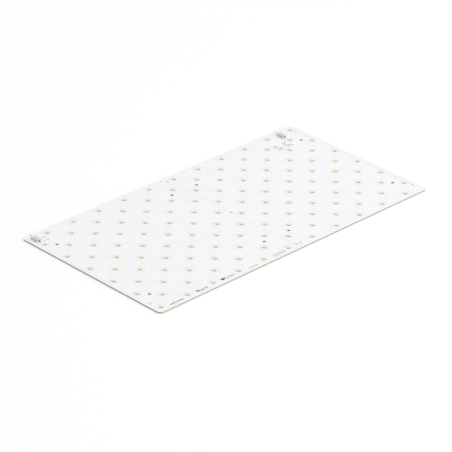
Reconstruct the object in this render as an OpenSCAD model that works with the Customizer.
// LED area module: a white circuit board with LEDs on a staggered lattice, screw holes
// and two wire terminals. Millimetres, X along the long edge, Y along the short edge, Z up.
// The origin is the middle of the board's underside.

/* [Board] */
// Length of the board
board_l = 360; // [330:1:420]
// Width of the board
board_w = 180; // [165:1:210]
// Thickness of the laminate
board_t = 1.6; // [1:0.1:3.2]
// Radius of the board's corners
corner_r = 4.5; // [2:0.5:6]
// Diameter of the screw holes
screw_hole_d = 3.2; // [2.2:0.1:4.5]
// Diameter of the tooling holes by the back edge
tooling_hole_d = 1.6; // [1:0.1:2]
// Distance of the tooling holes from the back edge
tooling_hole_inset = 1.8; // [1.5:0.1:2.2]
// Distance of each tooling hole from its terminal along X
tooling_hole_shift = 1.9; // [1.4:0.1:2.4]

/* [Copper] */
// Thickness of the copper
copper_t = 0.035; // [0.018:0.001:0.07]
// Diameter of the heat-spreading pad under each LED
pad_d = 10.4; // [8:0.2:12]
// Width of the links between LEDs
link_w = 1; // [0.6:0.1:1.4]
// Length along X of each 45 degree bend in a link that rises along its string
rise_bend = 3; // [1:0.1:3.2]
// Length along X of each 45 degree bend in a link that falls
fall_bend = 2; // [1:0.1:3.2]
// Distance of a rising link's long run from the middle between its LEDs
rise_shift = 1.2; // [0:0.1:1.4]
// Distance of a falling link's long run from that middle
fall_shift = 0.4; // [0:0.1:1.4]
// Width of the feed and return tracks
bus_w = 1.2; // [0.8:0.1:1.6]
// Distance of the feed and return tracks from the long edges
bus_inset = 3; // [2.6:0.1:3.6]
// Distance of the inner track by the right-hand edge from its LEDs
inner_track_x = 2.6; // [2.4:0.1:3]
// Distance between the two tracks down the middle
middle_pitch = 3.5; // [3:0.1:4]
// Gap between copper of different polarity
copper_gap = 0.5; // [0.3:0.1:0.8]
// Distance from a terminal to the bend in its track along the edge
tap_x = 4; // [3.4:0.1:5]
// Diameter of the temperature pad
test_pad_d = 1.6; // [1:0.1:1.8]

/* [LED] */
// Side of the square LED body
led_w = 3; // [2.6:0.1:3.5]
// Height of the LED body
led_h = 0.6; // [0.5:0.05:1]
// Diameter of the cup at its rim
cup_rim_d = 2.4; // [2.1:0.1:2.5]
// Diameter of the cup at its floor
cup_floor_d = 2; // [1.6:0.1:2.1]
// Depth of the phosphor's face below the rim
fill_drop = 0.02; // [0.01:0.01:0.1]
// Chamfer of the body's corner that marks the cathode
mark_chamfer = 0.35; // [0.2:0.05:0.4]
// Thickness of the lead plates
lead_t = 0.2; // [0.15:0.01:0.3]
// Width of the lead plates
lead_w = 2.2; // [1.8:0.1:2.3]
// Length of the lead plates outside the body
lead_out = 0.1; // [0.05:0.05:0.3]
// Gap between the two lead plates
lead_gap = 0.4; // [0.3:0.05:0.5]
// Distance of that gap from the middle of the LED
lead_split = 0.65; // [0.6:0.05:0.8]
// Width of the tie bars that reach the body's sides
tie_w = 0.4; // [0.2:0.1:0.6]
// Side of the chip
chip_w = 0.7; // [0.4:0.05:0.8]
// Thickness of the chip
chip_t = 0.12; // [0.08:0.01:0.2]
// Length of the solder fillet at each lead
led_fillet = 0.35; // [0.2:0.05:0.6]

/* [Terminals] */
// Width of the terminal housing
term_w = 5; // [4.6:0.1:6]
// Length of the terminal housing
term_l = 8.5; // [8:0.1:9]
// Height of the terminal housing
term_h = 2.4; // [2.3:0.1:3.5]
// Distance of the terminals from their lattice column along X
term_shift = 0.5; // [0:0.1:1]
// Chamfer along the housing's top edges
term_chamfer = 0.3; // [0.2:0.1:0.5]
// Thickness of the housing's roof
roof_t = 0.45; // [0.35:0.05:0.5]
// Thickness of the wall that the wire goes in through
entry_wall_t = 2.2; // [1.8:0.1:2.6]
// Thickness of the wall at the other end
end_wall_t = 0.8; // [0.6:0.1:1.2]
// Diameter of the wire entry
wire_d = 1; // [0.8:0.1:1.1]
// Diameter of the funnel's mouth
funnel_d = 1.3; // [1.2:0.1:1.4]
// Depth of the funnel
funnel_depth = 0.7; // [0.4:0.1:1]
// Width of the window in the far end
window_w = 1.8; // [1:0.1:2.2]
// Height of the window in the far end
window_h = 1; // [0.6:0.1:1.2]
// Width of the contact across its side walls
contact_w = 3; // [2.8:0.1:3.4]
// Thickness of the contact strip
strip_t = 0.25; // [0.2:0.01:0.3]
// Width of the contact's solder tabs
tab_w = 2.2; // [1.8:0.1:2.4]
// Length of the solder tabs outside the housing
tab_l = 0.6; // [0.5:0.1:1]
// Gap between the tips of the clamping tongues
tip_gap = 0.3; // [0.2:0.1:0.6]
// Height of the clamping tongues
tongue_h = 0.9; // [0.6:0.1:1.1]
// Length of the clamping tongues along the wire
tongue_l = 2.6; // [2:0.1:3.2]
// Length of the latch windows in the housing's sides
latch_l = 1.4; // [1:0.1:2]
// Height of the latch windows
latch_h = 0.6; // [0.5:0.1:0.8]
// Length of a barb out of the contact's side wall
barb_out = 0.3; // [0.2:0.1:0.6]
// Clearance of the contact in the housing
contact_clear = 0.1; // [0.05:0.05:0.2]
// Copper left round each solder tab
tab_margin = 0.5; // [0.5:0.1:0.8]
// Length of the solder fillet at each tab
tab_fillet = 0.4; // [0.2:0.1:0.5]

/* [Hidden] */
STRINGS = 6;
COLUMNS = 22;
HALF = COLUMNS / 2;
ROWS = 2 * STRINGS;
$fn = 48;
// How far a cutting shape runs past the face that it cuts
cut = 0.1;

// The lattice keeps half a pitch to each edge, so that boards set edge to edge continue it
column_step = board_l / COLUMNS;
row_step = board_w / ROWS;
function column_x(i) = (i - (COLUMNS - 1) / 2) * column_step;
function row_y(j) = (j - (ROWS - 1) / 2) * row_step;
// LED i of a string: the string zigzags between its two rows
function led_at(s, i) = [column_x(i), row_y(2 * (s - 1) + i % 2)];

// Screw holes lie midway between LEDs, four in each half of the board
screw_columns = [0.5, HALF - 1.5, HALF + 0.5, COLUMNS - 1.5];
screw_rows = [1.5, ROWS - 2.5];
screw_points = [for (i = screw_columns, j = screw_rows) [column_x(i), row_y(j)]];

copper_z = board_t + copper_t;
bus_x = column_x(COLUMNS - 1) + pad_d / 2;
bus_y = board_w / 2 - bus_inset;
feed_middle_x = column_x(HALF) - pad_d / 2;
return_middle_x = feed_middle_x - middle_pitch;
bus_break = bus_w + copper_gap;
pad_limit_y = bus_y - bus_w / 2 - copper_gap;
link_end = led_w / 2 + link_w;

// The LEDs lie with their leads towards the long edges
led_turn = -90;
lead_end = led_w / 2 + lead_out;
fill_h = led_h - fill_drop;
cup_slope = (cup_rim_d - cup_floor_d) / 2 / (led_h - lead_t);

// The terminals stand on two vacant places of the back row
tab_pad_l = tab_l + tab_margin - contact_clear;
tab_pad_w = tab_w + 2 * tab_margin;
tab_pad_y = term_l / 2 + contact_clear + tab_pad_l / 2;
term_y = row_y(ROWS - 2) + pad_d / 2 + copper_gap + tab_pad_y + tab_pad_l / 2;
left_term = [column_x(0) - term_shift, term_y];
right_term = [column_x(COLUMNS - 2) - term_shift, term_y];
tap_y = term_y + tab_pad_y;
tap_drop = bus_y - tap_y;
tooling_points = [for (p = [left_term, right_term])
    [p.x + tooling_hole_shift, board_w / 2 - tooling_hole_inset]];

chamber_top = term_h - roof_t;
chamber_front = term_l / 2 - entry_wall_t;
chamber_back = -term_l / 2 + end_wall_t;
base_top = copper_t + strip_t;
wire_z = (base_top + chamber_top) / 2;
contact_front = chamber_front - contact_clear;
contact_back = chamber_back + contact_clear;
contact_mid_y = (contact_front + contact_back) / 2;
wall_x = (contact_w - strip_t) / 2;
barb_x = (contact_w + barb_out - strip_t / 2) / 2;
tip_x = (tip_gap + strip_t) / 2;

// Outline of a strip of even width along a line of points, with mitred corners
function unit(v) = v / norm(v);
function left_of(a, b) = let (d = unit(b - a)) [-d.y, d.x];
function mitre(a, b, c) = let (m = left_of(a, b), n = left_of(b, c)) (m + n) / (1 + m * n);
function side_dir(path, i) =
    i == 0 ? left_of(path[0], path[1]) :
    i == len(path) - 1 ? left_of(path[i - 1], path[i]) :
    mitre(path[i - 1], path[i], path[i + 1]);
function side_line(path, d) = [for (i = [0:len(path) - 1]) path[i] + d * side_dir(path, i)];
function reversed(list) = [for (i = [len(list) - 1:-1:0]) list[i]];

module strip(path, width) {
    polygon(concat(side_line(path, width / 2), reversed(side_line(path, -width / 2))));
}

module centred_block(size) {
    translate([-size.x / 2, -size.y / 2, 0])
        cube(size);
}

// Laminate with its rounded corners, screw holes and tooling holes
module board_outline() {
    square([board_l - 2 * corner_r, board_w], center = true);
    square([board_l, board_w - 2 * corner_r], center = true);
    for (sx = [-1, 1], sy = [-1, 1])
        translate([sx * (board_l / 2 - corner_r), sy * (board_w / 2 - corner_r)])
            circle(corner_r);
}

module circuit_board() {
    color("white")
        linear_extrude(board_t)
            difference() {
                board_outline();
                for (p = screw_points)
                    translate(p)
                        circle(d = screw_hole_d);
                for (p = tooling_points)
                    translate(p)
                        circle(d = tooling_hole_d);
            }
}

// Copper foil of a flat shape, on the board's upper face
module foil() {
    translate([0, 0, board_t])
        linear_extrude(copper_t)
            children();
}

// One half of a round pad, cut flat where the pad would reach the track along the edge.
// The side is -1 for the anode's half, behind and to the left, and 1 for the cathode's.
// The split steps round the leads; in front on the left the anode's half ends at its link.
module half_pad(at, side) {
    foot = side > 0 ? -pad_d : -link_w;
    split = [
        [-led_w / 2, foot],
        [-led_w / 2, lead_split],
        [led_w / 2, lead_split],
        [led_w / 2, pad_d],
    ];
    far = [[side * pad_d, pad_d], [side * pad_d, foot]];
    low = max(-pad_d, -pad_limit_y - at.y);
    high = min(pad_d, pad_limit_y - at.y);
    translate(at)
        intersection() {
            circle(d = pad_d);
            polygon(concat(side_line(split, -side * lead_gap / 2), far));
            translate([-pad_d, low])
                square([2 * pad_d, high - low]);
        }
}

// Link from the cathode of one LED to the anode of the next
module link(from, to) {
    rises = to.y > from.y;
    bend = rises ? rise_bend : fall_bend;
    turn = rises ? bend : -bend;
    run_x = (from.x + to.x) / 2 + (rises ? rise_shift : fall_shift);
    half_pad(from, 1);
    half_pad(to, -1);
    strip([
        [from.x + link_end, from.y],
        [run_x - bend, from.y],
        [run_x, from.y + turn],
        [run_x, to.y - turn],
        [run_x + bend, to.y],
        [to.x - link_end, to.y],
    ], link_w);
}

module string_links(s) {
    color([0.93, 0.93, 0.94])
        for (i = [0:COLUMNS - 2])
            if (i != HALF - 1)
                foil()
                    link(led_at(s, i), led_at(s, i + 1));
}

// Copper under a terminal: the strip that carries the contact and a pad at each tab
module terminal_pads(at) {
    translate(at) {
        foil()
            square([tab_w, 2 * tab_pad_y], center = true);
        for (side = [-1, 1])
            translate([0, side * tab_pad_y])
                foil()
                    square([tab_pad_w, tab_pad_l], center = true);
    }
}

// Feed: round the left half of the edge, and down the middle to the right-hand strings
module feed_track() {
    low_y = term_y - tab_pad_y;
    corner = bus_x + left_term.x;
    color([0.93, 0.93, 0.94]) {
        foil()
            strip([
                [feed_middle_x, bus_break - bus_y],
                [feed_middle_x, bus_y],
                [left_term.x + tap_x + tap_drop, bus_y],
                [left_term.x + tap_x, tap_y],
                [left_term.x, tap_y],
            ], bus_w);
        foil()
            strip([
                [left_term.x, low_y],
                [left_term.x - corner / 2, low_y],
                [-bus_x, low_y - corner / 2],
                [-bus_x, -bus_y],
                [return_middle_x - bus_break, -bus_y],
            ], bus_w);
        terminal_pads(left_term);
        for (s = [1:STRINGS], i = [0, HALF])
            foil()
                half_pad(led_at(s, i), -1);
    }
}

// Return: round the right half of the edge, and up the middle to the left-hand strings.
// A second track inside the one along the right-hand edge joins the last LEDs.
module return_track() {
    inner_x = column_x(COLUMNS - 1) + inner_track_x;
    color([0.93, 0.93, 0.94]) {
        foil()
            strip([[inner_x, row_y(1)], [inner_x, row_y(ROWS - 1)]], bus_w);
        foil()
            strip([
                [return_middle_x, bus_y - bus_break],
                [return_middle_x, -bus_y],
                [bus_x, -bus_y],
                [bus_x, bus_y],
                [right_term.x + tap_x + tap_drop, bus_y],
                [right_term.x + tap_x, tap_y],
                [right_term.x - tap_x, tap_y],
                [right_term.x - tap_x - tap_drop, bus_y],
                [feed_middle_x + bus_break, bus_y],
            ], bus_w);
        terminal_pads(right_term);
        for (s = [1:STRINGS], i = [HALF - 1, COLUMNS - 1])
            foil()
                half_pad(led_at(s, i), 1);
        for (s = [1:STRINGS]) {
            last = led_at(s, HALF - 1);
            foil()
                strip([[last.x + link_end, last.y], [return_middle_x, last.y]], link_w);
        }
    }
}

module temperature_pad() {
    color("silver")
        translate([feed_middle_x - middle_pitch / 2, 0, board_t])
            cylinder(h = copper_t, d = test_pad_d);
}

// Places its children at every LED of a string, on the copper
module at_leds(s) {
    for (i = [0:COLUMNS - 1])
        translate(concat(led_at(s, i), copper_z))
            rotate(led_turn)
                children();
}

// Plan of the two lead plates; a tie bar from the larger one reaches both sides of the body
module lead_plan() {
    gap_left = -lead_split - lead_gap / 2;
    gap_right = -lead_split + lead_gap / 2;
    tie_x = (gap_right + lead_end) / 2;
    translate([-lead_end, -lead_w / 2])
        square([lead_end + gap_left, lead_w]);
    translate([gap_right, -lead_w / 2])
        square([lead_end - gap_right, lead_w]);
    translate([tie_x, 0])
        square([tie_w, led_w], center = true);
}

// Profile of the cup from its floor up to a height
module cup(h) {
    rotate_extrude()
        polygon([
            [0, lead_t],
            [cup_floor_d / 2, lead_t],
            [cup_floor_d / 2 + cup_slope * (h - lead_t), h],
            [0, h],
        ]);
}

// Moulded LED body: a square block with a conical cup, round the lead plates
module led_body() {
    half = led_w / 2;
    difference() {
        linear_extrude(led_h)
            polygon([
                [-half, -half],
                [half - mark_chamfer, -half],
                [half, -half + mark_chamfer],
                [half, half],
                [-half, half],
            ]);
        cup(led_h + cut);
        translate([0, 0, -cut])
            linear_extrude(lead_t + cut)
                lead_plan();
    }
}

module string_led_bodies(s) {
    color([0.95, 0.95, 0.94])
        at_leds(s)
            led_body();
}

module string_lead_frames(s) {
    color("silver")
        at_leds(s)
            linear_extrude(lead_t)
                lead_plan();
}

module chip() {
    translate([0, 0, lead_t])
        centred_block([chip_w, chip_w, chip_t]);
}

module string_chips(s) {
    color([0.45, 0.55, 0.75])
        at_leds(s)
            chip();
}

// Silicone with phosphor, cast in the cup over the chip
module string_phosphor(s) {
    color([0.98, 0.85, 0.45])
        at_leds(s)
            difference() {
                cup(fill_h);
                chip();
            }
}

// Fillet of solder that climbs an end face: its foot runs along X, its width along Y
module fillet(foot, climb, width) {
    translate([0, width / 2, 0])
        rotate([90, 0, 0])
            linear_extrude(width)
                polygon([[0, 0], [foot, 0], [0, climb]]);
}

module string_solder(s) {
    color([0.7, 0.7, 0.72])
        at_leds(s)
            for (turn = [0, 180])
                rotate(turn)
                    translate([lead_end, 0, 0])
                        fillet(led_fillet, lead_t, lead_w);
}

// Places its children on the board at a terminal
module at_terminal(at) {
    translate(concat(at, board_t))
        children();
}

// Moulded housing, open below: the wire goes in at the +Y end through a funnel and a bore
module terminal_housing(at) {
    half = term_w / 2;
    color([0.86, 0.86, 0.86])
        at_terminal(at)
            difference() {
                translate([0, term_l / 2, 0])
                    rotate([90, 0, 0])
                        linear_extrude(term_l)
                            polygon([
                                [-half, 0],
                                [half, 0],
                                [half, term_h - term_chamfer],
                                [half - term_chamfer, term_h],
                                [term_chamfer - half, term_h],
                                [-half, term_h - term_chamfer],
                            ]);
                translate([-contact_w / 2, chamber_back, -cut])
                    cube([contact_w, chamber_front - chamber_back, chamber_top + cut]);
                tab_slot();
                wire_entry();
                translate([0, chamber_back, wire_z - window_h / 2])
                    centred_block([window_w, 2 * end_wall_t + cut, window_h]);
                translate([0, contact_mid_y, wire_z - latch_h / 2])
                    centred_block([term_w + cut, latch_l, latch_h]);
            }
}

// Slot under both end walls for the contact's strip
module tab_slot() {
    translate([0, 0, -cut])
        centred_block([
            tab_w + 2 * contact_clear,
            term_l + cut,
            base_top + contact_clear + cut,
        ]);
}

module wire_entry() {
    translate([0, term_l / 2, wire_z])
        rotate([90, 0, 0])
            rotate_extrude()
                polygon([
                    [0, -cut],
                    [funnel_d / 2, -cut],
                    [funnel_d / 2, 0],
                    [wire_d / 2, funnel_depth],
                    [wire_d / 2, entry_wall_t + cut],
                    [0, entry_wall_t + cut],
                ]);
}

// Contact bent from one strip: base with a tab at each end, two side walls with a barb
// each, and two tongues that lean in against the wire
module terminal_contact(at) {
    wall_l = contact_front - contact_back;
    color([0.78, 0.74, 0.66])
        at_terminal(at) {
            translate([0, 0, copper_t])
                centred_block([tab_w, term_l + 2 * tab_l, strip_t]);
            translate([0, contact_mid_y, copper_t])
                centred_block([contact_w, wall_l, strip_t]);
            for (side = [-1, 1]) {
                translate([side * wall_x, contact_mid_y, copper_t])
                    centred_block([strip_t, wall_l, chamber_top - contact_clear - copper_t]);
                translate([side * barb_x, contact_mid_y, wire_z - latch_h / 2 + contact_clear])
                    centred_block([
                        strip_t / 2 + barb_out,
                        latch_l - 2 * contact_clear,
                        latch_h - 2 * contact_clear,
                    ]);
                translate([0, 0, wire_z - tongue_h / 2])
                    linear_extrude(tongue_h)
                        strip([
                            [side * wall_x, contact_front - strip_t],
                            [side * tip_x, contact_front - tongue_l],
                        ], strip_t);
            }
        }
}

module terminal_solder(at) {
    color([0.7, 0.7, 0.72])
        at_terminal(at)
            for (turn = [90, 270])
                rotate(turn)
                    translate([term_l / 2 + tab_l, 0, copper_t])
                        fillet(tab_fillet, strip_t, tab_w);
}

circuit_board();
feed_track();
return_track();
temperature_pad();
for (s = [1:STRINGS]) {
    string_links(s);
    string_led_bodies(s);
    string_lead_frames(s);
    string_chips(s);
    string_phosphor(s);
    string_solder(s);
}
terminal_housing(left_term);  // left_terminal_housing
terminal_contact(left_term);  // left_terminal_contact
terminal_solder(left_term);  // left_terminal_solder
terminal_housing(right_term);  // right_terminal_housing
terminal_contact(right_term);  // right_terminal_contact
terminal_solder(right_term);  // right_terminal_solder
